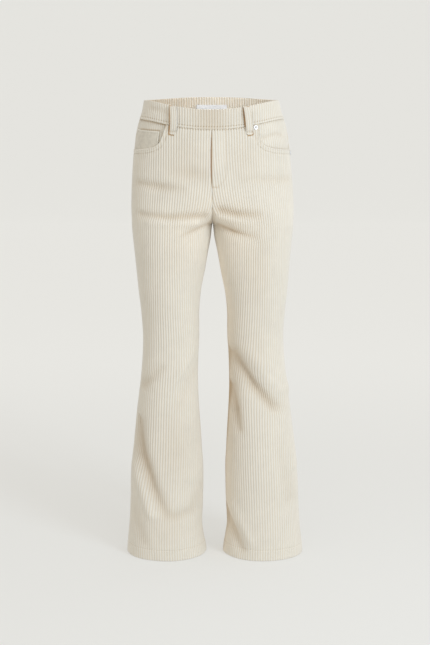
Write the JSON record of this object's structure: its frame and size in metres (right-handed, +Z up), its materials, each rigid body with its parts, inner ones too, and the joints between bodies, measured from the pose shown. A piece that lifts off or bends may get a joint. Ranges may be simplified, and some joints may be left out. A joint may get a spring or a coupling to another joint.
{
  "type": "flared corduroy trousers",
  "caption": "Flared wide-wale corduroy trousers in a hollow worn pose, with a contoured waistband, belt loops, scooped front pockets, a coin pocket and a mock fly.",
  "frame": {"origin": "centre of the waist opening, level with the waistband's top edge at the side seams, where the wearer's waist holds it", "axes": "+Z up the body, -Y to the wearer's front, +X to the wearer's left"},
  "size_m": [0.4108, 0.2377, 1.0492],
  "materials": {
    "corduroy": "matt, soft pile in vertical ribs",
    "pocket_cloth": "matt, plain weave",
    "label_cloth": "satin, fine weave",
    "rivet_metal": "polished, nickel plated"
  },
  "bodies": {
    "root": {"front_right": "corduroy", "front_left": "corduroy", "back_right": "corduroy", "back_left": "corduroy", "waistband_front": "corduroy", "waistband_back": "corduroy", "pocket_facing_right": "corduroy", "pocket_facing_left": "corduroy", "belt_loop_front_right": "corduroy", "belt_loop_front_left": "corduroy", "belt_loop_side_right": "corduroy", "belt_loop_back": "corduroy", "belt_loop_side_left": "corduroy", "coin_pocket": "pocket_cloth", "fly_placket": "pocket_cloth", "label": "label_cloth", "rivet_pocket_left": "rivet_metal", "rivet_seam_left": "rivet_metal"}
  },
  "joints": []
}
